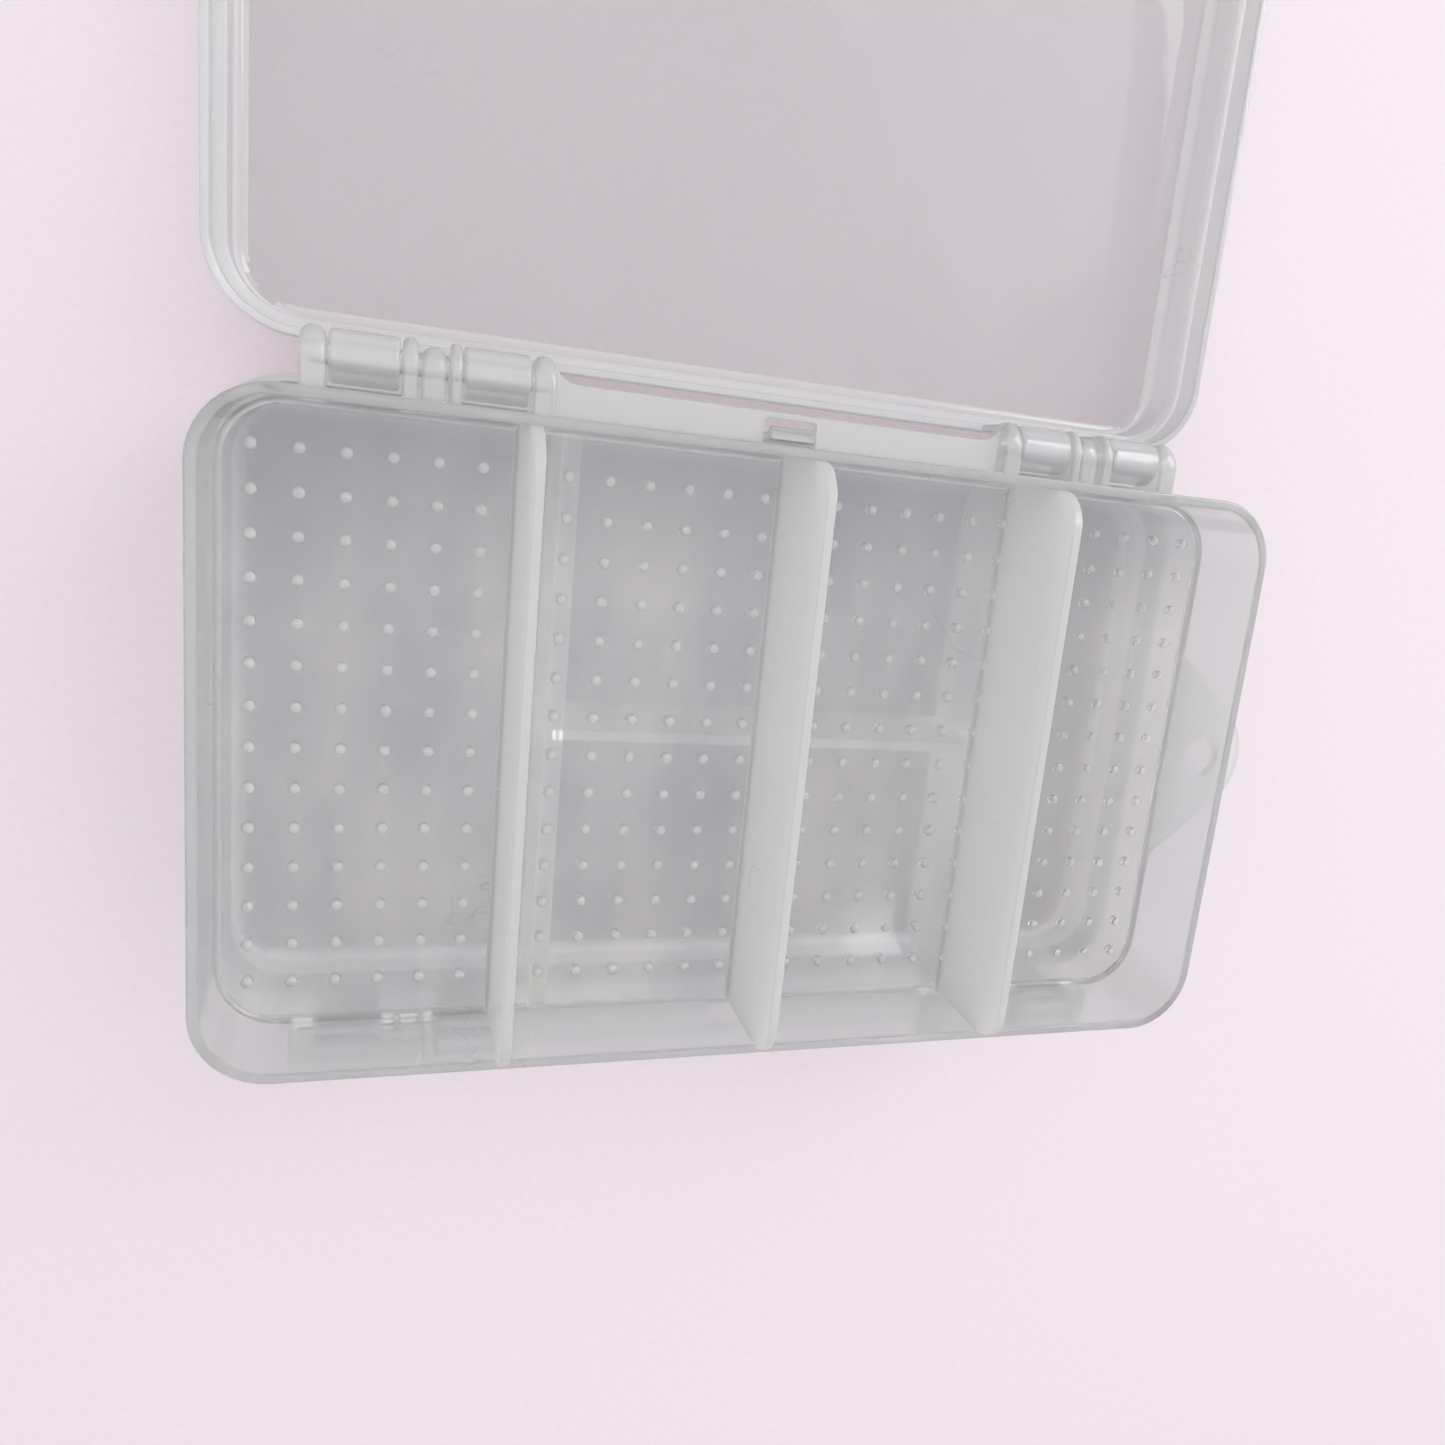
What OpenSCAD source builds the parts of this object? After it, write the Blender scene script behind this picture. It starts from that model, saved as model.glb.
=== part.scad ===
// Two-sided parts sorting case: a double-sided tray with a hinged lid on each face.
// +Z is up, +Y points to the upper lid's hinge and +X to the hanging tab.
// The origin is the centre of the lower lid's outer face, on which the case rests.
// At rest the lower lid is closed and the upper lid lies open behind the case.

/* [Case] */
// Inside length of the tray
inner_l = 132; // [110:1:160]
// Inside width of the tray
inner_w = 75.8; // [66:0.2:90]
// Inside corner radius of the tray
inner_r = 7.5; // [5:0.5:10]
// Thickness of the outer walls
wall_t = 1.25; // [1:0.05:1.5]
// Thickness of the shared floor in the middle of the case
floor_t = 1.3; // [1:0.1:2]
// Height of each rim above the floor's face
rim_h = 13.5; // [11:0.5:18]

/* [Dividers] */
// Thickness of the dividers
divider_t = 1.3; // [1:0.1:1.6]
// Height of the dividers above the floor's face
divider_h = 18.75; // [16.5:0.25:20]
// Radius of the dividers' free corners
divider_r = 5.25; // [3:0.25:6]
// Distance from the middle to the lower side's left wall
lower_left_x = 27.25; // [20:0.25:30]
// Distance from the middle to the lower side's right wall
lower_right_x = 36; // [30:0.25:45]

/* [Lids] */
// Thickness of the lids' panels and shoulders
lid_t = 1.3; // [1:0.1:1.6]
// Thickness of the skirt that reaches over the rim
skirt_t = 1.1; // [0.8:0.1:1.4]
// How far the skirt reaches over the rim
skirt_overlap = 3.5; // [2:0.25:3.5]
// Gap between the skirt and the rim
skirt_gap = 0.65; // [0.6:0.05:0.9]
// Depth of a lid's hollow above the rim
lid_depth = 5.95; // [5.9:0.05:8]
// Step from the tray's inside face out to the lid's inside face
lid_step = 0.5; // [0.3:0.1:0.6]

/* [Hinges] */
// Distance from the case's middle to each hinge axis
hinge_y = 43; // [42.8:0.1:45]
// Radius of the lid barrels
barrel_r = 3; // [2.6:0.1:3]
// Radius of the hinge pins
pin_r = 1.1; // [0.9:0.05:1.3]
// Running clearance of a pin in the lid barrels
pin_play = 0.08; // [0.02:0.01:0.1]
// Distance from the middle to a hinge group's inner post
hinge_x = 29.8; // [26:0.2:32]
// Length of one lid barrel
barrel_l = 7.45; // [6:0.05:8]

/* [Latches] */
// Width of a latch tongue
latch_w = 6; // [5:0.5:8]
// How far a latch tongue reaches past the middle of the case
latch_reach = 2; // [1.5:0.25:3]
// Width of the ledges that the latches pass through
ledge_w = 4.25; // [4.2:0.05:4.6]

/* [Hanging tab] */
// How far the tab's tip stands out from the case wall
tab_l = 12.95; // [11:0.05:16]
// Half the width of the tab at the wall
tab_half_w = 16; // [12:0.5:18]
// Radius of the tab's round tip
tab_r = 10; // [8:0.5:11]
// Thickness of the tab
tab_t = 1.6; // [1.2:0.1:2]
// Radius of the hanging hole
hang_r = 3.2; // [2.5:0.1:3.5]

/* [Hidden] */
$fn = 64;
eps = 0.01;

// Heights are measured from the middle of the shared floor, which lies this high
rim_z = floor_t / 2 + rim_h;
seat_z = rim_z + 0.1;
panel_z = rim_z + lid_depth;
lid_top_z = panel_z + lid_t;
mid_z = lid_top_z;
skirt_z = rim_z - skirt_overlap;

// Half the tray's inside size, and the outward faces as steps from it
half_l = inner_l / 2;
half_w = inner_w / 2;
wall_y = half_w + wall_t;
skirt_in = wall_t + skirt_gap;
skirt_out = skirt_in + skirt_t;
arm_in_y = half_w + skirt_in;
arm_out_y = half_w + skirt_out;

// Hinge group, measured from its inner post outward
post_w = 2.65;
slim_post_w = 1.4;
lug_w = 2.6;
wide_post_w = 1.7;
end_post_w = 2.75;
axial_gap = 0.25;
lug_gap = 0.4;
post_r = barrel_r + 0.2;
lug_r = 2.5;
barrel_1_x = hinge_x + post_w + axial_gap;
slim_post_x = barrel_1_x + barrel_l + axial_gap;
lug_x = slim_post_x + slim_post_w + lug_gap;
wide_post_x = lug_x + lug_w + lug_gap;
barrel_2_x = wide_post_x + wide_post_w + axial_gap;
end_post_x = barrel_2_x + barrel_l + axial_gap;
pin_x = hinge_x + 0.8;
pin_l = end_post_x + end_post_w - 0.8 - pin_x;
press = 0.02;

// Latch tongue
tongue_t = skirt_t;
root_r = tongue_t / 2;
root_z = skirt_z + 0.7;
notch_gap = 0.4;
nose_r = 0.75;
window_w = latch_w + 1;
window_y = half_w + wall_t + 3.45;

// Outline of the tray's inside, grown outward by one step
module outline(grow) {
    r = inner_r + grow;
    x = half_l + grow;
    y = half_w + grow;
    square([2 * x, 2 * (y - r)], center = true);
    square([2 * (x - r), 2 * y], center = true);
    for (sx = [-1, 1], sy = [-1, 1])
        translate([sx * (x - r), sy * (y - r)]) circle(r = r);
}

// Wall that stands on the outline between two steps and two heights
module ring(inner, outer, low, high) {
    translate([0, 0, low])
        difference() {
            linear_extrude(height = high - low) outline(outer);
            translate([0, 0, -1]) linear_extrude(height = high - low + 2) outline(inner);
        }
}

// Finger of the case that holds a pin, round at its free end
module post(x, width, radius) {
    tip_y = hinge_y + radius;
    intersection() {
        translate([x, 0, -radius - 1]) linear_extrude(height = 2 * radius + 2) {
            translate([0, wall_y - 0.6]) square([width, tip_y - width / 2 - wall_y + 0.6]);
            translate([width / 2, tip_y - width / 2]) circle(r = width / 2);
        }
        union() {
            translate([x - 1, hinge_y, 0]) rotate([0, 90, 0]) cylinder(r = radius, h = width + 2);
            translate([x - 1, wall_y - 1, -radius]) cube([width + 2, hinge_y - wall_y + 1, 2 * radius]);
        }
    }
}

// Case side of one hinge group on the +X half of the +Y side
module hinge_posts() {
    difference() {
        union() {
            post(hinge_x, post_w, post_r);
            post(slim_post_x, slim_post_w, post_r);
            post(lug_x, lug_w, lug_r);
            post(wide_post_x, wide_post_w, post_r);
            post(end_post_x, end_post_w, post_r);
            translate([slim_post_x + slim_post_w / 2, wall_y - 0.6, -1])
                cube([wide_post_x - slim_post_x, 2.2, 2]);
        }
        translate([pin_x, hinge_y, 0]) rotate([0, 90, 0]) cylinder(r = pin_r - press, h = pin_l);
    }
}

// Ledge at the middle of the +Y side with the window for a latch tongue
module ledge() {
    difference() {
        translate([-hinge_x - 0.5, wall_y - 0.6, -floor_t / 2])
            cube([2 * hinge_x + 1, ledge_w + 0.6, floor_t]);
        translate([-window_w / 2, wall_y, -floor_t])
            cube([window_w, window_y - wall_y, 2 * floor_t]);
    }
}

// Hanging tab outline: a round tip with straight flanks running back to the wall
module tab_outline() {
    base_x = half_l + wall_t;
    centre_x = base_x + tab_l - tab_r;
    span = norm([centre_x - base_x, tab_half_w]);
    reach = sqrt(span * span - tab_r * tab_r);
    flank = atan2(-tab_half_w, centre_x - base_x) + asin(tab_r / span);
    flank_x = base_x + reach * cos(flank);
    flank_y = tab_half_w + reach * sin(flank);
    translate([centre_x, 0]) circle(r = tab_r);
    polygon([[base_x - 0.8, -tab_half_w], [base_x, -tab_half_w], [flank_x, -flank_y],
             [flank_x, flank_y], [base_x, tab_half_w], [base_x - 0.8, tab_half_w]]);
}

module hanging_tab() {
    difference() {
        translate([0, 0, -tab_t / 2]) linear_extrude(height = tab_t) tab_outline();
        translate([0, 0, -rim_z]) linear_extrude(height = 2 * rim_z) outline(wall_t / 2);
        translate([half_l + wall_t + tab_l - 6.8, 0, -tab_t])
            cylinder(r = hang_r, h = 2 * tab_t);
    }
}

// Half a turn about X swaps the two faces of the case
module other_face() {
    rotate([180, 0, 0]) children();
}

module both_hinge_sides() {
    children();
    other_face() children();
}

module case_body() {
    color([0.86, 0.88, 0.89, 0.5]) translate([0, 0, mid_z]) {
        ring(0, wall_t, -rim_z, rim_z);
        translate([0, 0, -floor_t / 2]) linear_extrude(height = floor_t) outline(wall_t / 2);
        both_hinge_sides() {
            hinge_posts();
            mirror([1, 0, 0]) hinge_posts();
            ledge();
        }
        hanging_tab();
    }
}

// Plate across the tray, standing on the floor, with its two free corners rounded
module divider_plate(length, height) {
    rotate([90, 0, 90]) translate([0, 0, -divider_t / 2]) linear_extrude(height = divider_t) {
        translate([-length / 2, 0]) square([length, height - divider_r]);
        translate([-length / 2 + divider_r, 0]) square([length - 2 * divider_r, height]);
        for (side = [-1, 1])
            translate([side * (length / 2 - divider_r), height - divider_r]) circle(r = divider_r);
    }
}

module upper_divider(x) {
    color([0.84, 0.86, 0.88, 0.55])
        translate([x, 0, mid_z + floor_t / 2]) divider_plate(inner_w, divider_h);
}

module lower_divider(x) {
    color([0.84, 0.86, 0.88, 0.55])
        translate([x, 0, mid_z - floor_t / 2]) other_face() divider_plate(inner_w, divider_h);
}

module lower_cross_wall() {
    length = lower_left_x + lower_right_x - divider_t;
    middle_x = (lower_right_x - lower_left_x) / 2;
    color([0.84, 0.86, 0.88, 0.55])
        translate([middle_x - length / 2, -divider_t / 2, mid_z - floor_t / 2 - divider_h])
            cube([length, divider_t, divider_h]);
}

module hinge_pin(side) {
    color([0.9, 0.91, 0.92])
        translate([side > 0 ? pin_x : -pin_x - pin_l, hinge_y, 0])
            rotate([0, 90, 0]) cylinder(r = pin_r, h = pin_l);
}

// Lid side of one hinge barrel: arm, gusset and bored barrel
module lid_barrel(x) {
    difference() {
        union() {
            translate([x, arm_in_y, 0]) cube([barrel_l, skirt_t, skirt_z + 1]);
            translate([x, arm_in_y, 0]) cube([barrel_l, hinge_y - arm_in_y, barrel_r]);
            translate([x, hinge_y, 0]) rotate([0, 90, 0]) cylinder(r = barrel_r, h = barrel_l);
        }
        translate([x - 1, hinge_y, 0])
            rotate([0, 90, 0]) cylinder(r = pin_r + pin_play, h = barrel_l + 2);
    }
}

// A lid closed on the upper rim, its hinge on the +Y side
module closed_lid() {
    difference() {
        union() {
            ring(skirt_in, skirt_out, skirt_z, seat_z);
            ring(lid_step, skirt_out, seat_z, seat_z + lid_t);
            ring(lid_step, lid_step + lid_t, seat_z, lid_top_z);
            translate([0, 0, panel_z])
                linear_extrude(height = lid_t) outline(lid_step + lid_t / 2);
            for (x = [barrel_1_x, barrel_2_x]) {
                lid_barrel(x);
                mirror([1, 0, 0]) lid_barrel(x);
            }
        }
        translate([-latch_w / 2 - notch_gap, -arm_out_y - 1, skirt_z - 1])
            cube([latch_w + 2 * notch_gap, skirt_t + 2, root_z + root_r + notch_gap - skirt_z + 1]);
    }
}

// The latch tongue of a closed upper lid, on its -Y side
module closed_latch() {
    tip_z = -latch_reach;
    translate([-latch_w / 2, 0, 0]) {
        translate([0, -arm_out_y, tip_z]) cube([latch_w, tongue_t, root_z - tip_z]);
        translate([0, -arm_out_y + root_r, root_z])
            rotate([0, 90, 0]) cylinder(r = root_r, h = latch_w);
        translate([0, -arm_out_y, tip_z + nose_r])
            rotate([0, 90, 0]) cylinder(r = nose_r, h = latch_w);
    }
}

// Swings a closed upper lid half a turn about its hinge, flat behind the case
module swung_open() {
    translate([0, hinge_y, mid_z]) rotate([180, 0, 0]) translate([0, -hinge_y, 0]) children();
}

module upper_lid() {
    color([0.88, 0.9, 0.9, 0.45]) swung_open() closed_lid();
}

module upper_latch() {
    color([0.86, 0.88, 0.88, 0.55]) swung_open() closed_latch();
}

module lower_lid() {
    color([0.88, 0.9, 0.9, 0.45]) translate([0, 0, mid_z]) other_face() closed_lid();
}

module lower_latch() {
    color([0.86, 0.88, 0.88, 0.55]) translate([0, 0, mid_z]) other_face() closed_latch();
}

divider_pitch = inner_l / 4;

case_body();
upper_divider(-divider_pitch);  // upper_divider_left
upper_divider(0);  // upper_divider_centre
upper_divider(divider_pitch);  // upper_divider_right
lower_divider(-lower_left_x);  // lower_divider_left
lower_divider(lower_right_x);  // lower_divider_right
lower_cross_wall();
translate([0, 0, mid_z]) hinge_pin(-1);  // upper_hinge_pin_left
translate([0, 0, mid_z]) hinge_pin(1);  // upper_hinge_pin_right
translate([0, 0, mid_z]) other_face() hinge_pin(-1);  // lower_hinge_pin_left
translate([0, 0, mid_z]) other_face() hinge_pin(1);  // lower_hinge_pin_right
upper_lid();
upper_latch();
lower_lid();
lower_latch();
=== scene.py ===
"""Visual model of the two-sided parts sorting case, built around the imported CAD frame.

Meshes are made in millimetres, in the frame's axes, and turned into metres at the end.
Heights named n are measured from the middle of the shared floor, outward towards one lid;
the other face of the case is the same shape turned half round about X.
"""
import math

import bmesh
import bpy
from mathutils import Matrix, Vector
from mathutils.geometry import delaunay_2d_cdt


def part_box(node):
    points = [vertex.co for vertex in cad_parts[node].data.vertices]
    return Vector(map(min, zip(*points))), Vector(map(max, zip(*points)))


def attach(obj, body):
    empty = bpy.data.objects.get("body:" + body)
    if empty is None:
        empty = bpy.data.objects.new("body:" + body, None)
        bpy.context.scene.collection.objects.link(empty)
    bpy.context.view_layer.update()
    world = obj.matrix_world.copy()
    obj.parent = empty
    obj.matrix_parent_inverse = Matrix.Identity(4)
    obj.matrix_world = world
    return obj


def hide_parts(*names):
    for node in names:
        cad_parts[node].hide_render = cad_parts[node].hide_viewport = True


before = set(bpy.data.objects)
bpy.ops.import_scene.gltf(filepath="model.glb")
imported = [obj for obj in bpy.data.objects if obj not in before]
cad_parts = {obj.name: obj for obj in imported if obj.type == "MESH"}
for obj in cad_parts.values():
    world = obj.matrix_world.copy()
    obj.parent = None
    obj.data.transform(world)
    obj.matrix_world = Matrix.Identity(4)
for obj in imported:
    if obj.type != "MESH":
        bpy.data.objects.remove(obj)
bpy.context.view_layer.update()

MM = 0.001

# ----------------------------------------------------------------------------------------
# Sizes, from the CAD nodes' boxes where they can be, in millimetres
# ----------------------------------------------------------------------------------------


def box_mm(node):
    low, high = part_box(node)
    return low / MM, high / MM


case_low, case_high = box_mm("case_body")
divider_low, divider_high = box_mm("upper_divider_centre")
left_low, left_high = box_mm("lower_divider_left")
right_low, right_high = box_mm("lower_divider_right")
lid_low, lid_high = box_mm("lower_lid")
pin_low, pin_high = box_mm("upper_hinge_pin_right")

WALL_T = 1.25
FLOOR_HALF = 0.65
MID_Z = (case_low.z + case_high.z) / 2
RIM_N = (case_high.z - case_low.z) / 2
HALF_L = -case_low.x - WALL_T
HALF_W = divider_high.y
INNER_R = 7.5
CORNER_STEPS = 10
EDGE_STEPS = 3
NEARLY_ROUND = 0.001
SEAM = 0.002
FLOOR_FILLET = 0.7
RIM_EDGE = 0.3

BUMP_PITCH = 5.0
BUMP_R = 0.7
BUMP_H = 0.42
BUMP_COLUMNS = 26
BUMP_ROWS = 14
BUMP_SIDES = 12
BUMP_PROFILE = ((1.0, 0.0), (0.93, 0.38), (0.74, 0.72), (0.42, 0.93))

DIVIDER_T = divider_high.x - divider_low.x
DIVIDER_TOP = divider_high.z - MID_Z
DIVIDER_R = 5.25
FOOT_R = 0.55
PLATE_R = 0.22
PLATE_THIN = 0.9
EMBED = 0.25
# The walls under the floor stop just short of it: a foot inside clear plastic renders dark.
UNDER_SINK = -0.015

LID_T = 1.3
LID_STEP = 0.5
SEAT_N = 14.25
PANEL_N = 20.1
LID_TOP_N = MID_Z
SKIRT_N = 10.65
SKIRT_IN = 1.9
SKIRT_OUT = lid_high.x - HALF_L
LID_FILLET = 1.6
LID_EDGE = 1.1
FIELD_IN = (3.6, 8.2)
FIELD_R = 8.0
FIELD_SLOPE = 0.5
FIELD_STEP = 0.3
SKIRT_EDGE = 0.28
SHOULDER_R = 0.7
SHOULDER_FILLET = 0.5

HINGE_Y = (pin_low.y + pin_high.y) / 2
PIN_R = (pin_high.y - pin_low.y) / 2
PIN_BORE = 0.08
BARREL_R = 3.0
POST_R = 3.2
POST_X = 29.8
POST_EDGE = 0.45
POST_STEPS = 14
IN_WALL = HALF_W + WALL_T - 0.5
BARREL_X = (32.7, 47.15)
BARREL_L = 7.45
ARM_FILLET = 1.3
ARM_EDGE = 0.45
SMALL_EDGE = 0.3
WEB_HALF = (2.4, 1.1)
WEB_R = 0.35
WEB_CENTRE = (43.5, 39.65)
LEDGE_Y = 43.4
LEDGE_FLARE = 3.0
LEDGE_EDGE = 0.25
WINDOW = (3.5, 39.15, 42.6)
TONGUE = (39.8, 40.9)
TONGUE_ROOT_N = 11.35
TONGUE_TIP_N = -2.0
NOSE_R = 0.75
LATCH_HALF = 3.0
NOTCH_GAP = 0.4
NOTCH_OVER = 2
NOTCH_DEEP = 3.1
TAB_T = 1.6
TAB_R = 10.0
TAB_HALF = 16.0
TAB_ROOT = 0.8
TAB_EDGE = 0.35
HANG_R = 3.2
HANG_IN = 6.8

# ----------------------------------------------------------------------------------------
# Mesh helpers: a solid is a list of rows of points, lofted into quads and closed
# ----------------------------------------------------------------------------------------


def arc(centre, radius, start, end, steps):
    """Points of an arc, both ends included, angles in degrees."""
    turns = [math.radians(start + (end - start) * k / steps) for k in range(steps + 1)]
    return [(centre[0] + radius * math.cos(t), centre[1] + radius * math.sin(t)) for t in turns]


def rounded(half_x, half_y, radius, steps=CORNER_STEPS, centre=(0, 0)):
    """A rounded rectangle, counter-clockwise from its right side."""
    loop = []
    for quarter, (sx, sy) in enumerate(((1, 1), (-1, 1), (-1, -1), (1, -1))):
        corner = (centre[0] + sx * (half_x - radius), centre[1] + sy * (half_y - radius))
        loop += arc(corner, radius, 90 * quarter, 90 * quarter + 90, steps)
    return loop


def outline(grow):
    """The tray's inside outline, grown outward."""
    return rounded(HALF_L + grow, HALF_W + grow, INNER_R + grow)


def disc(radius, steps, centre):
    """A circle, as a square whose corners are rounded almost to its middle."""
    return rounded(radius, radius, radius - NEARLY_ROUND, steps, centre)


def round_off(drop, edge):
    """How far a rounded edge stands back from the full width, drop below its top."""
    return edge - math.sqrt(max(edge**2 - (edge - min(drop, edge)) ** 2, 0.0))


def inset(loop, distance):
    """The loop moved to its left, which is inward for a counter-clockwise one."""
    moved = []
    for k, point in enumerate(loop):
        before = Vector(point) - Vector(loop[k - 1])
        after = Vector(loop[(k + 1) % len(loop)]) - Vector(point)
        before.normalize()
        after.normalize()
        normal = Vector((-before.y - after.y, before.x + after.x))
        if normal.length < 1e-6:
            normal = Vector((-before.y, before.x)) * 2
        normal *= 2 / normal.length_squared
        moved.append(tuple(Vector(point) + normal * distance))
    return moved


def lift(loop, z):
    return [(x, y, z) for x, y in loop]


def add_rows(bm, rows):
    """Quads between rows of equally many points."""
    made = [[bm.verts.new(p) for p in row] for row in rows]
    for a, b in zip(made, made[1:]):
        for k in range(len(a)):
            m = (k + 1) % len(a)
            bm.faces.new((a[k], a[m], b[m], b[k]))


def add_cap(bm, loop, holes, z):
    """A flat face over the loop with round holes left open, as triangles."""
    points = list(loop)
    edges = [(k, (k + 1) % len(loop)) for k in range(len(loop))]
    for hole in holes:
        first = len(points)
        points += hole
        edges += [(first + k, first + (k + 1) % len(hole)) for k in range(len(hole))]
    rim = [list(range(len(loop)))]
    made = delaunay_2d_cdt([Vector(p) for p in points], edges, rim, 1, 1e-5)
    verts, faces, origins = made[0], made[2], made[3]
    hole_of = {}
    first = len(loop)
    for number, hole in enumerate(holes):
        for k in range(first, first + len(hole)):
            hole_of[k] = number
        first += len(hole)
    corners = [bm.verts.new((p.x, p.y, z)) for p in verts]
    for face in faces:
        owners = {hole_of.get(o) for v in face for o in origins[v]}
        if len(owners) == 1 and None not in owners:
            continue
        bm.faces.new([corners[v] for v in face])


def solid(bm, name):
    """Closes the seams, turns the faces outward and makes an object of the mesh, still in mm."""
    bmesh.ops.remove_doubles(bm, verts=bm.verts, dist=SEAM)
    bmesh.ops.recalc_face_normals(bm, faces=bm.faces)
    mesh = bpy.data.meshes.new(name)
    bm.to_mesh(mesh)
    bm.free()
    obj = bpy.data.objects.new(name, mesh)
    bpy.context.scene.collection.objects.link(obj)
    return obj


def slab_rows(loop, low, high, edge):
    """Rows up the side of a slab whose two rims are rounded by edge."""
    turns = [math.radians(90 * k / EDGE_STEPS) for k in range(EDGE_STEPS + 1)]
    rows = []
    for turn in turns:
        inward, up = edge * (1 - math.sin(turn)), edge * (1 - math.cos(turn))
        rows.append(lift(inset(loop, inward), low + up))
    for turn in turns:
        inward, down = edge * (1 - math.cos(turn)), edge * (1 - math.sin(turn))
        rows.append(lift(inset(loop, inward), high - down))
    return rows


def slab(name, loop, low, high, edge, holes=(), axes=None):
    """An extruded outline with rounded rims and through holes.

    axes turns (u, v, w) into (x, y, z).
    """
    bm = bmesh.new()
    add_rows(bm, slab_rows(loop, low, high, edge))
    for hole in holes:
        add_rows(bm, slab_rows(hole[::-1], low, high, edge / 2))
    holes_in = [inset(hole[::-1], edge / 2) for hole in holes]
    add_cap(bm, inset(loop, edge), holes_in, low)
    add_cap(bm, inset(loop, edge), holes_in, high)
    if axes:
        bmesh.ops.transform(bm, matrix=Matrix(axes).transposed().to_4x4(), verts=bm.verts)
    return solid(bm, name)


ALONG_X = ((0, 1, 0), (0, 0, 1), (1, 0, 0))
ALONG_Y = ((1, 0, 0), (0, 0, 1), (0, 1, 0))


def loft(name, rows):
    """A solid from a stack of loops, its two ends capped."""
    bm = bmesh.new()
    add_rows(bm, rows)
    for row in (rows[0], rows[-1]):
        bm.faces.new([bm.verts.new(p) for p in row])
    return solid(bm, name)


def combine(obj, others, operation="UNION"):
    """Boolean of obj with each of the others in turn; the others are used up."""
    for other in others:
        modifier = obj.modifiers.new("cut", "BOOLEAN")
        modifier.operation = operation
        modifier.solver = "MANIFOLD"
        modifier.object = other
        graph = bpy.context.evaluated_depsgraph_get()
        made = bpy.data.meshes.new_from_object(obj.evaluated_get(graph))
        obj.modifiers.clear()
        old, obj.data = obj.data, made
        bpy.data.meshes.remove(old)
        bpy.data.objects.remove(other)
    return obj


def turned(obj, matrix):
    """The same mesh moved, in place."""
    obj.data.transform(matrix)
    return obj


def copy_of(obj, matrix):
    """A second object with its own mesh, moved or mirrored."""
    twin = bpy.data.objects.new(obj.name + "_twin", obj.data.copy())
    bpy.context.scene.collection.objects.link(twin)
    twin.data.transform(matrix)
    if matrix.to_3x3().determinant() < 0:
        twin.data.flip_normals()
    return twin


MIRROR_X = Matrix.Diagonal((-1, 1, 1, 1))
MIRROR_Y = Matrix.Diagonal((1, -1, 1, 1))
OTHER_FACE = Matrix.Rotation(math.pi, 4, "X")
TO_ROW = Matrix.Translation((0, 0, MID_Z))
SWUNG = Matrix.Translation((0, 2 * HINGE_Y, MID_Z)) @ OTHER_FACE

# ----------------------------------------------------------------------------------------
# Case: shell with its bumps, hinge posts, ledges and hanging tab
# ----------------------------------------------------------------------------------------


def bump_centres():
    middle_column, middle_row = (BUMP_COLUMNS - 1) / 2, (BUMP_ROWS - 1) / 2
    for column in range(BUMP_COLUMNS):
        for row in range(BUMP_ROWS):
            yield (column - middle_column) * BUMP_PITCH, (row - middle_row) * BUMP_PITCH


def bump_rows(x, y, face):
    """Rows of one low dome on the upper (face 1) or lower (face -1) side of the floor."""
    rows = []
    for r, h in BUMP_PROFILE:
        circle = arc((x, y), BUMP_R * r, 0, 360 * (1 - 1 / BUMP_SIDES), BUMP_SIDES - 1)
        rows.append(lift(circle, face * (FLOOR_HALF + BUMP_H * h)))
    return rows


def case_shell():
    """The double tray without its outside parts: walls, floor and the bumps on both faces."""
    top = RIM_N - RIM_EDGE
    half = []
    for t in [math.radians(90 * k / 6) for k in range(7)]:
        grow = -FLOOR_FILLET + FLOOR_FILLET * math.sin(t)
        half.append((grow, FLOOR_HALF + FLOOR_FILLET * (1 - math.cos(t))))
    half += arc((RIM_EDGE, top), RIM_EDGE, 180, 90, 3)
    half += arc((WALL_T - RIM_EDGE, top), RIM_EDGE, 90, 0, 3)
    profile = half + [(g, -n) for g, n in half[::-1]]
    bm = bmesh.new()
    add_rows(bm, [lift(outline(g), n) for g, n in profile])
    centres = list(bump_centres())
    for face in (1, -1):
        holes = []
        for x, y in centres:
            rows = bump_rows(x, y, face)
            holes.append([(p[0], p[1]) for p in rows[0]])
            add_rows(bm, rows)
            peak = bm.verts.new((x, y, face * (FLOOR_HALF + BUMP_H)))
            last = [bm.verts.new(p) for p in rows[-1]]
            for k in range(BUMP_SIDES):
                bm.faces.new((last[k], last[(k + 1) % BUMP_SIDES], peak))
        add_cap(bm, outline(-FLOOR_FILLET), holes, face * FLOOR_HALF)
    return solid(bm, "case_shell")


def post(x, width, radius):
    """Finger of the case that holds a pin, from the wall to its round tip."""
    rows = []
    for k in range(POST_STEPS + 1):
        turn = math.radians(-90 + 180 * k / POST_STEPS)
        n = radius * math.sin(turn)
        tip = HINGE_Y + max(radius * math.cos(turn), 0.0)
        thin = round_off(radius - abs(n), POST_EDGE)
        half = width / 2 - thin
        tip -= thin
        loop = [(x + width / 2 - half, IN_WALL), (x + width / 2 + half, IN_WALL)]
        loop += arc((x + width / 2, tip - half), half, 0, 180, 8)
        rows.append(lift(loop, n))
    return loft("post", rows)


# Start along X, width and tip radius of each post in one hinge group.
POSTS = (
    (POST_X, 2.65, POST_R),
    (40.4, 1.4, POST_R),
    (42.2, 2.6, 2.5),
    (45.2, 1.7, POST_R),
    (54.85, 2.75, POST_R),
)


def hinge_posts():
    """The posts of one hinge group and the web between the middle three, as separate solids."""
    made = [post(*p) for p in POSTS]
    web = rounded(*WEB_HALF, WEB_R, 3, WEB_CENTRE)
    made.append(slab("web", web, -1, 1, SMALL_EDGE))
    return made


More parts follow.
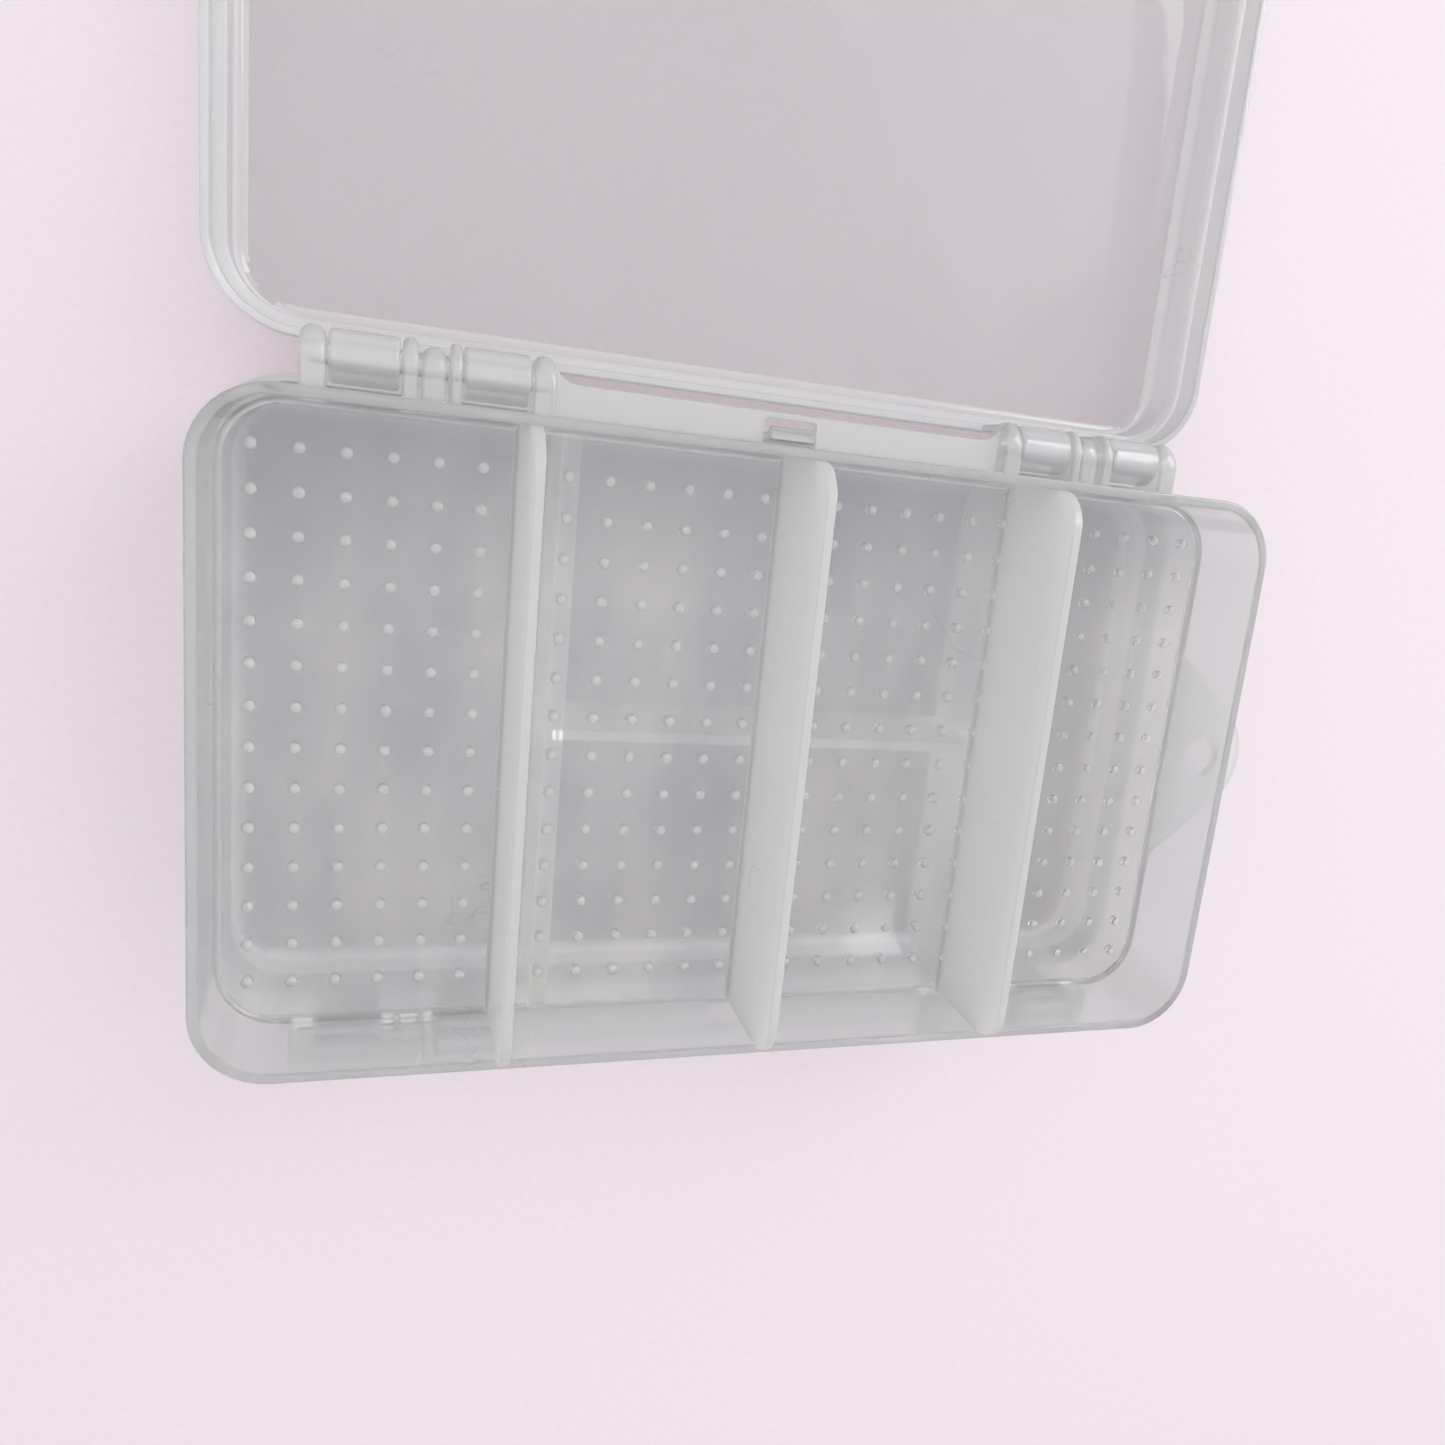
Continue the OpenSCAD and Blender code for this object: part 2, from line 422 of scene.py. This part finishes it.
def ledge():
    """Ledge at the middle of one side, flaring to the inner posts, with the latch's window."""
    right = POST_X + 0.6
    flare_centre = (POST_X - LEDGE_FLARE + 0.2, LEDGE_Y + LEDGE_FLARE)
    side = [(right, IN_WALL), (right, LEDGE_Y + LEDGE_FLARE - 0.4)]
    side += arc(flare_centre, LEDGE_FLARE, 0, -90, 8)[1:]
    loop = side + [(-x, y) for x, y in side[::-1]]
    half_x, near, far = WINDOW
    window = rounded(half_x, (far - near) / 2, 0.4, 3, (0, (near + far) / 2 + 0.02))
    return slab("ledge", loop, -FLOOR_HALF, FLOOR_HALF, LEDGE_EDGE, [window])


def hanging_tab():
    """The tab on the right end: a round tip with straight flanks, and its hole."""
    base = HALF_L + WALL_T
    tip = case_high.x
    centre = tip - TAB_R
    span = math.hypot(centre - base, TAB_HALF)
    flank = math.degrees(math.atan2(-TAB_HALF, centre - base) + math.asin(TAB_R / span))
    touch = 90 + flank
    loop = [(base - TAB_ROOT, -TAB_HALF), (base, -TAB_HALF)]
    loop += arc((centre, 0), TAB_R, -touch, touch, 24)
    loop += [(base, TAB_HALF), (base - TAB_ROOT, TAB_HALF)]
    hole = disc(HANG_R, 8, (tip - HANG_IN, 0))
    return slab("tab", loop, -TAB_T / 2, TAB_T / 2, TAB_EDGE, [hole])


def case_piece():
    """The whole case moulding, the same on both faces, at its height in the row."""
    case = case_shell()
    right = hinge_posts()
    solids = right + [copy_of(o, MIRROR_X) for o in right] + [ledge()]
    solids += [copy_of(o, OTHER_FACE) for o in solids]
    case = combine(case, solids + [hanging_tab()])
    return turned(case, TO_ROW)


# ----------------------------------------------------------------------------------------
# Dividers, pins, lids and latches
# ----------------------------------------------------------------------------------------


def divider(x, half_y, face, rounded_ends=True, half_x=DIVIDER_T / 2, sink=EMBED):
    """A plate that stands on the floor on a flared foot, its free corners and edges rounded.

    sink is how deep the foot goes into the floor; below zero it stops short of it.
    """
    rows = []
    edge = SMALL_EDGE

    def add(n, reach, thin):
        loop = rounded(half_x + thin, half_y + reach, PLATE_R, 2, (x, 0.0))
        rows.append(lift(loop, n))

    add(FLOOR_HALF - sink, EMBED, FOOT_R)
    for k in range(0 if sink > 0 else 1, 4):
        turn = math.radians(90 * k / 4)
        add(FLOOR_HALF + FOOT_R * (1 - math.cos(turn)), EMBED, FOOT_R * (1 - math.sin(turn)))
    add(FLOOR_HALF + FOOT_R, EMBED, 0)
    rim = RIM_N - RIM_EDGE
    top = DIVIDER_TOP
    add(rim - 0.2, EMBED, 0)
    if rounded_ends:
        add(rim, 0, 0)
        steps = 12
        for k in range(steps + 1):
            turn = math.radians(90 * k / steps)
            n = top - DIVIDER_R + DIVIDER_R * math.sin(turn)
            thin = round_off(top - n, edge)
            add(n, -DIVIDER_R * (1 - math.cos(turn)), -thin * PLATE_THIN)
    else:
        for k in range(4):
            turn = math.radians(90 * k / 3)
            thin = edge * (1 - math.cos(turn)) * PLATE_THIN
            add(top - edge * (1 - math.sin(turn)), EMBED, -thin)
    obj = loft("plate", rows)
    if face < 0:
        turned(obj, OTHER_FACE)
    return turned(obj, TO_ROW)


def hinge_pin(side, face):
    """The rod through one hinge group, on the right or left side of the upper or lower tray."""
    circle = disc(PIN_R, 5, (HINGE_Y, 0))
    obj = slab("pin", circle, pin_low.x, pin_high.x, SMALL_EDGE, axes=ALONG_X)
    if side < 0:
        obj.data.transform(MIRROR_X)
        obj.data.flip_normals()
    if face < 0:
        turned(obj, OTHER_FACE)
    return turned(obj, TO_ROW)


def lid_arm(x):
    """Arm, gusset and bored barrel of one hinge knuckle, as one rounded extrusion along X."""
    near, far = TONGUE
    fillet = ARM_FILLET
    arm_top = SKIRT_N + 0.9
    loop = [(near, arm_top), (near, 0.4)]
    loop += arc((HINGE_Y, 0), BARREL_R, 172, 450, 26)
    loop += arc((far + fillet, BARREL_R + fillet), fillet, 270, 180, 5)
    loop += [(far, arm_top)]
    bore = disc(PIN_R + PIN_BORE, 5, (HINGE_Y, 0))
    return slab("arm", loop, x, x + BARREL_L, ARM_EDGE, [bore], ALONG_X)


def closed_lid():
    """A lid on the upper rim with its hinge at +Y, heights from the middle of the case."""
    inner = LID_STEP
    field_x, field_y = HALF_L - FIELD_IN[0], HALF_W - FIELD_IN[1]
    field = rounded(field_x, field_y, FIELD_R)
    field_top = rounded(field_x - FIELD_SLOPE, field_y - FIELD_SLOPE, FIELD_R - FIELD_SLOPE)
    rows = [(field_top, PANEL_N - FIELD_STEP), (field, PANEL_N)]
    for k in range(7):
        turn = math.radians(90 * k / 6)
        grow = inner - LID_FILLET + LID_FILLET * math.sin(turn)
        rows.append((outline(grow), PANEL_N - LID_FILLET * (1 - math.cos(turn))))
    rows += [(outline(g), n) for g, n in arc((inner + 0.25, SEAT_N + 0.25), 0.25, 180, 270, 3)]
    rows += [(outline(SKIRT_IN - 0.01), SEAT_N), (outline(SKIRT_IN), SEAT_N - 0.01)]
    low_n = SKIRT_N + SKIRT_EDGE
    skirt = arc((SKIRT_IN + SKIRT_EDGE, low_n), SKIRT_EDGE, 180, 270, 3)
    skirt += arc((SKIRT_OUT - SKIRT_EDGE, low_n), SKIRT_EDGE, 270, 360, 3)
    shoulder = SEAT_N + LID_T
    skirt += arc((SKIRT_OUT - SHOULDER_R, shoulder - SHOULDER_R), SHOULDER_R, 0, 90, 4)
    outer = inner + LID_T
    bend = (outer + SHOULDER_FILLET, shoulder + SHOULDER_FILLET)
    skirt += arc(bend, SHOULDER_FILLET, 270, 180, 4)
    skirt += arc((outer - LID_EDGE, LID_TOP_N - LID_EDGE), LID_EDGE, 0, 90, 6)
    rows += [(outline(g), n) for g, n in skirt]
    bm = bmesh.new()
    add_rows(bm, [lift(loop, n) for loop, n in rows])
    add_cap(bm, rows[0][0], [], rows[0][1])
    add_cap(bm, rows[-1][0], [], rows[-1][1])
    lid = solid(bm, "lid")
    arms = [lid_arm(x) for x in BARREL_X]
    lid = combine(lid, arms + [copy_of(a, MIRROR_X) for a in arms])
    half = LATCH_HALF + NOTCH_GAP
    top = TONGUE_ROOT_N + 0.55 + NOTCH_GAP
    bottom = SKIRT_N - NOTCH_OVER
    loop = rounded(half, (top - bottom) / 2, 0.5, 4, (0, (top + bottom) / 2))
    low = -(HALF_W + SKIRT_OUT) - 1
    notch = slab("notch", loop, low, low + NOTCH_DEEP, 0.1, axes=ALONG_Y)
    notch.data.flip_normals()
    return combine(lid, [notch], "DIFFERENCE")


def closed_latch():
    """The latch tongue of a closed upper lid, on its -Y side."""
    near, far = TONGUE
    tip = TONGUE_TIP_N
    nose_n = tip + NOSE_R
    loop = [(near, TONGUE_ROOT_N)] + [(near, tip + 0.4), (near + 0.3, tip + 0.02)]
    loop += arc((far, nose_n), NOSE_R, -90, 80, 8)
    loop += [(far, nose_n + NOSE_R + 0.5)]
    loop += arc(((near + far) / 2, TONGUE_ROOT_N), (far - near) / 2, 0, 165, 7)
    obj = slab("latch", loop, -LATCH_HALF, LATCH_HALF, SMALL_EDGE, axes=ALONG_X)
    obj.data.transform(MIRROR_Y)
    obj.data.flip_normals()
    return obj


# ----------------------------------------------------------------------------------------
# Materials
# ----------------------------------------------------------------------------------------


class Nodes:
    """Short hand for one material's node tree."""

    def __init__(self, name):
        self.material = bpy.data.materials.new(name)
        self.material.use_nodes = True
        self.tree = self.material.node_tree
        self.tree.nodes.clear()

    def add(self, kind, **inputs):
        node = self.tree.nodes.new(kind)
        for key, value in inputs.items():
            if key.startswith("set_"):
                setattr(node, key[4:], value)
            else:
                self.put(node.inputs[key.replace("_", " ")], value)
        return node

    def put(self, socket, value):
        if isinstance(value, bpy.types.NodeSocket):
            self.tree.links.new(value, socket)
        else:
            socket.default_value = value

    def ramp(self, source, low, high, start=0.0, end=1.0):
        """source from low..high to start..end, clamped."""
        node = self.add("ShaderNodeMapRange")
        self.put(node.inputs["Value"], source)
        names = ("From Min", "From Max", "To Min", "To Max")
        for key, value in zip(names, (low, high, start, end)):
            node.inputs[key].default_value = value
        return node.outputs[0]

    def mix(self, factor, a, b):
        node = self.add("ShaderNodeMix", set_data_type="RGBA")
        self.put(node.inputs["Factor"], factor)
        self.put(node.inputs[6], a)
        self.put(node.inputs[7], b)
        return node.outputs[2]

    def math(self, operation, a, b=0.0):
        node = self.add("ShaderNodeMath", set_operation=operation)
        self.put(node.inputs[0], a)
        self.put(node.inputs[1], b)
        return node.outputs[0]


RELIEF = 0.00008
PLASTIC_IOR = 1.49
SHARP_DEGREES = 38
SCUFF = (0.96, 0.96, 0.97, 1)
DIRT = (0.13, 0.13, 0.14, 1)
# Painted shade: the colour the floor tone darkens to along the back edge, and over which Y it
# does so
PAINTED_SHADE_COLOUR = (0.60, 0.61, 0.655, 1)
PAINTED_SHADE_Y = (0.019, 0.035)
# Painted light: over which X the tone lightens towards the right end, the lit end
PAINTED_LIGHT_X = (0.036, 0.056)


def plastic(name, cool, warm, clarity, rough, haze, seed, lamp, painted_shade=0.0, painted_light=0.0, thin=0.0):
    """Milky moulded polypropylene: cloudy colour, scuffs, hair scratches, specks, uneven gloss,
    and optional painted shade and painted light.

    cool and warm are the two cloud colours, clarity the transmission, haze the share of
    scattered light and lamp the tint that lamp rays get. painted_shade is the share of painted
    shade that darkens the tone along the back edge, and painted_light the share of painted light
    that lightens it towards the right end, both fixed to the object. thin is the
    share of a bare sheet that lets light straight through.
    """
    n = Nodes(name)
    place = n.add("ShaderNodeTexCoord").outputs["Object"]
    shift = (seed, seed / 2, seed / 3)
    where = n.add("ShaderNodeMapping", Vector=place, Location=shift).outputs[0]
    drawn = n.add("ShaderNodeMapping", Vector=where, Scale=(1.7, 0.7, 1.0)).outputs[0]
    cloud = n.add("ShaderNodeTexNoise", Vector=drawn, Scale=34.0, Detail=4.0, Roughness=0.6)
    cloud_in = n.ramp(cloud.outputs[0], 0.36, 0.64)
    fine = n.add("ShaderNodeTexNoise", Vector=where, Scale=1400.0, Detail=3.0, Roughness=0.7)
    lumps = n.add("ShaderNodeTexNoise", Vector=where, Scale=160.0, Detail=2.0, Roughness=0.5)
    stretch = n.add("ShaderNodeMapping", Vector=where, Rotation=(0.3, 0.5, 0.9), Scale=(1, 30, 9))
    scratch = n.add("ShaderNodeTexNoise", Vector=stretch.outputs[0], Scale=70.0, Detail=2.0)
    scratches = n.ramp(scratch.outputs[0], 0.73, 0.77)
    hair = n.add("ShaderNodeTexNoise", Vector=where, Scale=95.0, Detail=2.0, Distortion=0.6)
    off_middle = n.math("ABSOLUTE", n.math("SUBTRACT", hair.outputs[0], 0.5))
    hair_line = n.ramp(off_middle, 0.0035, 0.001)
    worn = n.add("ShaderNodeTexNoise", Vector=where, Scale=40.0, Detail=1.0)
    hairs = n.math("MULTIPLY", hair_line, n.ramp(worn.outputs[0], 0.63, 0.70))
    specks = n.add("ShaderNodeTexVoronoi", Vector=where, Scale=210.0, Randomness=1.0)
    picked = n.ramp(specks.outputs["Color"], 0.84, 0.86)
    speck = n.math("MULTIPLY", n.ramp(specks.outputs["Distance"], 0.055, 0.03), picked)
    axes = n.add("ShaderNodeSeparateXYZ", Vector=place).outputs
    # Painted light: the tone is pushed to the lighter warm colour towards the right end
    cloud_in = n.math("MAXIMUM", cloud_in, n.ramp(axes["X"], *PAINTED_LIGHT_X, 0.0, painted_light))
    tone = n.mix(cloud_in, cool, warm)
    # Painted shade: the tone darkens towards the back edge
    tone = n.mix(n.ramp(axes["Y"], *PAINTED_SHADE_Y, 0.0, painted_shade), tone, PAINTED_SHADE_COLOUR)
    tone = n.mix(n.math("MULTIPLY", scratches, 0.25), tone, SCUFF)
    tone = n.mix(n.math("MULTIPLY", n.math("MAXIMUM", speck, hairs), 0.35), tone, DIRT)
    gloss = n.ramp(fine.outputs[0], 0.3, 0.7, rough * 0.8, rough * 1.2)
    gloss = n.math("ADD", gloss, n.math("MULTIPLY", scratches, 0.12))
    height = n.math("ADD", lumps.outputs[0], n.math("MULTIPLY", fine.outputs[0], 0.02))
    height = n.math("SUBTRACT", height, n.math("MULTIPLY", scratches, 0.03))
    bump = n.add("ShaderNodeBump", Strength=0.5, Distance=RELIEF, Height=height)
    body = n.add(
        "ShaderNodeBsdfPrincipled",
        Base_Color=tone,
        Roughness=gloss,
        IOR=PLASTIC_IOR,
        Transmission_Weight=clarity,
        Normal=bump.outputs[0],
    )
    glow = n.add("ShaderNodeBsdfTranslucent", Color=tone, Normal=bump.outputs[0])
    milky = n.add("ShaderNodeMixShader", Fac=haze)
    n.tree.links.new(body.outputs[0], milky.inputs[1])
    n.tree.links.new(glow.outputs[0], milky.inputs[2])
    lamp_ray = n.add("ShaderNodeLightPath").outputs["Is Shadow Ray"]
    through = n.add("ShaderNodeBsdfTransparent", Color=(lamp, lamp, lamp, 1))
    if thin:
        sheet = n.add("ShaderNodeMixShader", Fac=thin)
        n.tree.links.new(milky.outputs[0], sheet.inputs[1])
        n.tree.links.new(through.outputs[0], sheet.inputs[2])
        milky = sheet
    lit = n.add("ShaderNodeMixShader", Fac=lamp_ray)
    n.tree.links.new(milky.outputs[0], lit.inputs[1])
    n.tree.links.new(through.outputs[0], lit.inputs[2])
    n.add("ShaderNodeOutputMaterial", Surface=lit.outputs[0])
    return n.material


PALE = (0.955, 0.965, 0.98, 1)
CREAM = (0.985, 0.985, 0.975, 1)
GREY = (0.79, 0.797, 0.83, 1)
IVORY = (0.97, 0.965, 0.94, 1)
CLEAR_COOL = (0.952, 0.966, 0.976, 1)
CLEAR_WARM = (0.978, 0.985, 0.981, 1)
CLEAR = (0.985, 0.99, 0.99, 1)
# Painted shade: grey tints for the lower lid's panel, so the ground under the case shows darker
# through it
PAINTED_SHADE_GREY = (0.815, 0.818, 0.838, 1)
PAINTED_SHADE_PALE = (0.875, 0.878, 0.89, 1)
# name: cool, warm, clarity, rough, haze, seed, lamp, and the shares that only one finish has
case_plastic = plastic("case_plastic", CLEAR_COOL, CLEAR_WARM, 0.79, 0.04, 0.18, 0.0, 0.96)
# The floor gets painted shade along its back edge and painted light towards its right end
floor_plastic = plastic(
    "floor_plastic", GREY, IVORY, 0.88, 0.12, 0.06, 1.5, 0.97, painted_shade=0.6, painted_light=1.0
)
bump_plastic = plastic("bump_plastic", CREAM, CREAM, 0.7, 0.05, 0.08, 2, 0.985)
outer_plastic = plastic("outer_plastic", CLEAR_WARM, CREAM, 0.58, 0.08, 0.24, 3.5, 0.95)
divider_plastic = plastic("divider_plastic", CREAM, CREAM, 0.5, 0.2, 0.4, 3, 0.985)
under_plastic = plastic("under_plastic", CREAM, CREAM, 0.2, 0.2, 0.5, 4, 0.99)
lid_plastic = plastic("lid_plastic", PALE, CREAM, 0.6, 0.11, 0.16, 5, 0.92)
panel_plastic = plastic("panel_plastic", CLEAR, CREAM, 0.95, 0.05, 0.03, 5.5, 0.99, thin=0.55)
# Painted shade: the lower lid's panel is tinted grey, and passes less lamp light, to stand for
# the shade under the case
shaded_lid_plastic = plastic("shaded_lid_plastic", PAINTED_SHADE_GREY, PAINTED_SHADE_PALE, 0.9, 0.09, 0.05, 6, 0.82)
latch_plastic = plastic("latch_plastic", PALE, CREAM, 0.75, 0.14, 0.15, 7, 0.95)
pin_plastic = plastic("pin_plastic", PALE, CREAM, 0.75, 0.18, 0.15, 9, 0.95)


def finish_piece(obj, name, body, slot, material, *nodes):
    """Turns the mesh into metres, shades it and hands it to the frame for its CAD nodes."""
    obj.name = name
    obj.data.name = name
    obj.data.transform(Matrix.Scale(MM, 4))
    bm = bmesh.new()
    bm.from_mesh(obj.data)
    sharp = math.radians(SHARP_DEGREES)
    for edge in bm.edges:
        edge.smooth = not (len(edge.link_faces) == 2 and edge.calc_face_angle(0) > sharp)
    for face in bm.faces:
        face.smooth = True
    bm.to_mesh(obj.data)
    bm.free()
    obj.modifiers.new("even_shading", "WEIGHTED_NORMAL").keep_sharp = True
    obj.data.materials.clear()
    obj.data.materials.append(material)
    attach(obj, body)
    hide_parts(*nodes)
    return obj


case = finish_piece(
    case_piece(), "case_moulding", "case", "case_plastic", case_plastic, "case_body"
)


def paint(obj, material, chosen):
    """Gives the faces that chosen(centre in mm) picks another material."""
    obj.data.materials.append(material)
    for face in obj.data.polygons:
        if chosen(face.center / MM):
            face.material_index = len(obj.data.materials) - 1


FAR_AWAY = 99.0
ON_FLOOR = 0.02


def above_floor(centre):
    """How far a face inside the tray lies above its side of the floor, else FAR_AWAY."""
    inside = abs(centre.x) < HALF_L - FLOOR_FILLET and abs(centre.y) < HALF_W - FLOOR_FILLET
    return abs(centre.z - MID_Z) - FLOOR_HALF if inside else FAR_AWAY


def outside_walls(centre):
    """Whether a face is on the posts and ledges, or on the tab."""
    clear = WALL_T + 0.3
    return abs(centre.y) > HALF_W + clear or centre.x > HALF_L + clear


paint(case, bump_plastic, lambda c: ON_FLOOR < above_floor(c) < BUMP_H + 0.01)
paint(case, floor_plastic, lambda c: above_floor(c) <= ON_FLOOR)
paint(case, outer_plastic, outside_walls)

PITCH = HALF_L / 2
for label, x in (("left", -PITCH), ("centre", 0.0), ("right", PITCH)):
    name = "upper_divider_" + label
    obj = divider(x, HALF_W, 1)
    finish_piece(obj, name + "_plate", "case", "divider_plastic", divider_plastic, name)

left_x = (left_low.x + left_high.x) / 2
right_x = (right_low.x + right_high.x) / 2
for label, x in (("left", left_x), ("right", right_x)):
    name = "lower_divider_" + label
    obj = divider(x, HALF_W, -1, sink=UNDER_SINK)
    finish_piece(obj, name + "_plate", "case", "divider_plastic", under_plastic, name)

cross_half = (right_low.x - left_high.x) / 2 + EMBED
cross_x = (right_low.x + left_high.x) / 2
cross = divider(cross_x, DIVIDER_T / 2 - EMBED, -1, False, cross_half, UNDER_SINK)
finish_piece(
    cross, "lower_cross_wall_plate", "case", "divider_plastic", under_plastic, "lower_cross_wall"
)

for tray, face in (("upper", 1), ("lower", -1)):
    for label, side in (("left", -1), ("right", 1)):
        name = f"{tray}_hinge_pin_{label}"
        pin = hinge_pin(side, face)
        finish_piece(pin, name + "_rod", "case", "pin_plastic", pin_plastic, name)

PANEL_TOP = 1.9
reach_x, reach_y = HALF_L - LID_FILLET + LID_STEP, HALF_W - LID_FILLET + LID_STEP


def on_panel(centre, middle):
    """Whether a face is on the flat panel of a lid whose centre is at Y = middle."""
    inside = abs(centre.x) < reach_x and abs(centre.y - middle) < reach_y
    return inside and centre.z < PANEL_TOP


for tray, place, panel, middle in (
    ("upper", SWUNG, panel_plastic, 2 * HINGE_Y),
    ("lower", TO_ROW @ OTHER_FACE, shaded_lid_plastic, 0),
):
    lid = turned(closed_lid(), place)
    node = tray + "_lid"
    finish_piece(lid, node + "_moulding", node, "lid_plastic", lid_plastic, node)
    paint(lid, panel, lambda c: on_panel(c, middle))
    latch = turned(closed_latch(), place)
    node = tray + "_latch"
    finish_piece(latch, node + "_tongue", node, "latch_plastic", latch_plastic, node)

# ----------------------------------------------------------------------------------------
# Floor, light and camera
# ----------------------------------------------------------------------------------------

PAPER_DARK = (0.85, 0.765, 0.81, 1)
PAPER_LIGHT = (0.87, 0.785, 0.83, 1)
paper = Nodes("floor_paper")
grain_at = paper.add("ShaderNodeTexCoord").outputs["Object"]
grain = paper.add("ShaderNodeTexNoise", Vector=grain_at, Scale=900.0, Detail=2.0)
tint = paper.mix(paper.ramp(grain.outputs[0], 0.3, 0.7), PAPER_DARK, PAPER_LIGHT)
paper_body = paper.add("ShaderNodeBsdfPrincipled", Base_Color=tint, Roughness=0.9)
paper.add("ShaderNodeOutputMaterial", Surface=paper_body.outputs[0])

bpy.ops.mesh.primitive_plane_add(size=6.0, location=(0, 0, -0.0002))
floor = bpy.context.object
floor.name = "studio_floor"
floor.data.materials.append(paper.material)

SKY_LOW = (0.44, 0.42, 0.435, 1)
SKY_HIGH = (0.70, 0.70, 0.71, 1)
world = bpy.data.worlds.new("studio")
world.use_nodes = True
sky = world.node_tree
heading = sky.nodes.new("ShaderNodeTexCoord")
split = sky.nodes.new("ShaderNodeSeparateXYZ")
fade = sky.nodes.new("ShaderNodeMapRange")
fade.inputs["From Min"].default_value = -0.1
blend = sky.nodes.new("ShaderNodeMix")
blend.data_type = "RGBA"
blend.inputs[6].default_value, blend.inputs[7].default_value = SKY_LOW, SKY_HIGH
sky.links.new(heading.outputs["Generated"], split.inputs[0])
sky.links.new(split.outputs["Z"], fade.inputs["Value"])
sky.links.new(fade.outputs[0], blend.inputs["Factor"])
sky.links.new(blend.outputs[2], sky.nodes["Background"].inputs["Color"])
world.cycles.sampling_method = "MANUAL"
world.cycles.sample_map_resolution = 256
bpy.context.scene.world = world


def softbox(name, place, aim, size, power):
    """A rectangular area lamp at place, turned to face aim. Watts and metres."""
    lamp = bpy.data.lights.new(name, "AREA")
    lamp.shape = "RECTANGLE"
    lamp.size, lamp.size_y = size
    lamp.energy = power
    obj = bpy.data.objects.new(name, lamp)
    obj.location = place
    obj.rotation_euler = (Vector(aim) - Vector(place)).to_track_quat("-Z", "Y").to_euler()
    bpy.context.scene.collection.objects.link(obj)
    return obj


softbox("key_softbox", (0.95, 0.75, 0.85), (0, 0, 0), (0.7, 0.7), 9.3)
overhead = softbox("overhead_softbox", (-0.1, 0.15, 1.4), (0, 0.03, 0), (1.5, 1.5), 5.0)
softbox("glint_lamp", (0.298, -0.294, 0.622), (0.022, -0.03, 0.022), (0.05, 0.05), 0.035)
# Its light under the clear plastics is lost when rays from both ends are weighed together.
overhead.data.cycles.use_multiple_importance_sampling = False

# The camera fitted to the photograph: its place, and its right and looking directions.
CAMERA_PLACE = (-0.04739, 0.03602, 0.17213)
CAMERA_RIGHT = (0.9341948, 0.11387093, 0.33810278)
CAMERA_LOOK = (0.35551028, -0.21776764, -0.90894978)
camera_data = bpy.data.cameras.new("camera")
camera_data.sensor_width = 36.0
camera_data.lens = 29.51
camera_data.shift_x = -0.0787
camera_data.shift_y = 0.0155
camera_data.clip_start = 0.005
camera = bpy.data.objects.new("camera", camera_data)
right_axis, look_axis = Vector(CAMERA_RIGHT), Vector(CAMERA_LOOK)
up_axis = right_axis.cross(look_axis)
camera.matrix_world = Matrix.Translation(CAMERA_PLACE) @ Matrix(
    (right_axis, up_axis, -look_axis)
).transposed().to_4x4()
bpy.context.scene.collection.objects.link(camera)
bpy.context.scene.camera = camera

view_settings = bpy.context.scene.view_settings
view_settings.view_transform = "Standard"
view_settings.look = "None"
cycles = bpy.context.scene.cycles
cycles.max_bounces = 20
cycles.transmission_bounces = 20
cycles.caustics_refractive = False
cycles.caustics_reflective = False
cycles.transparent_max_bounces = 32
cycles.use_denoising = True
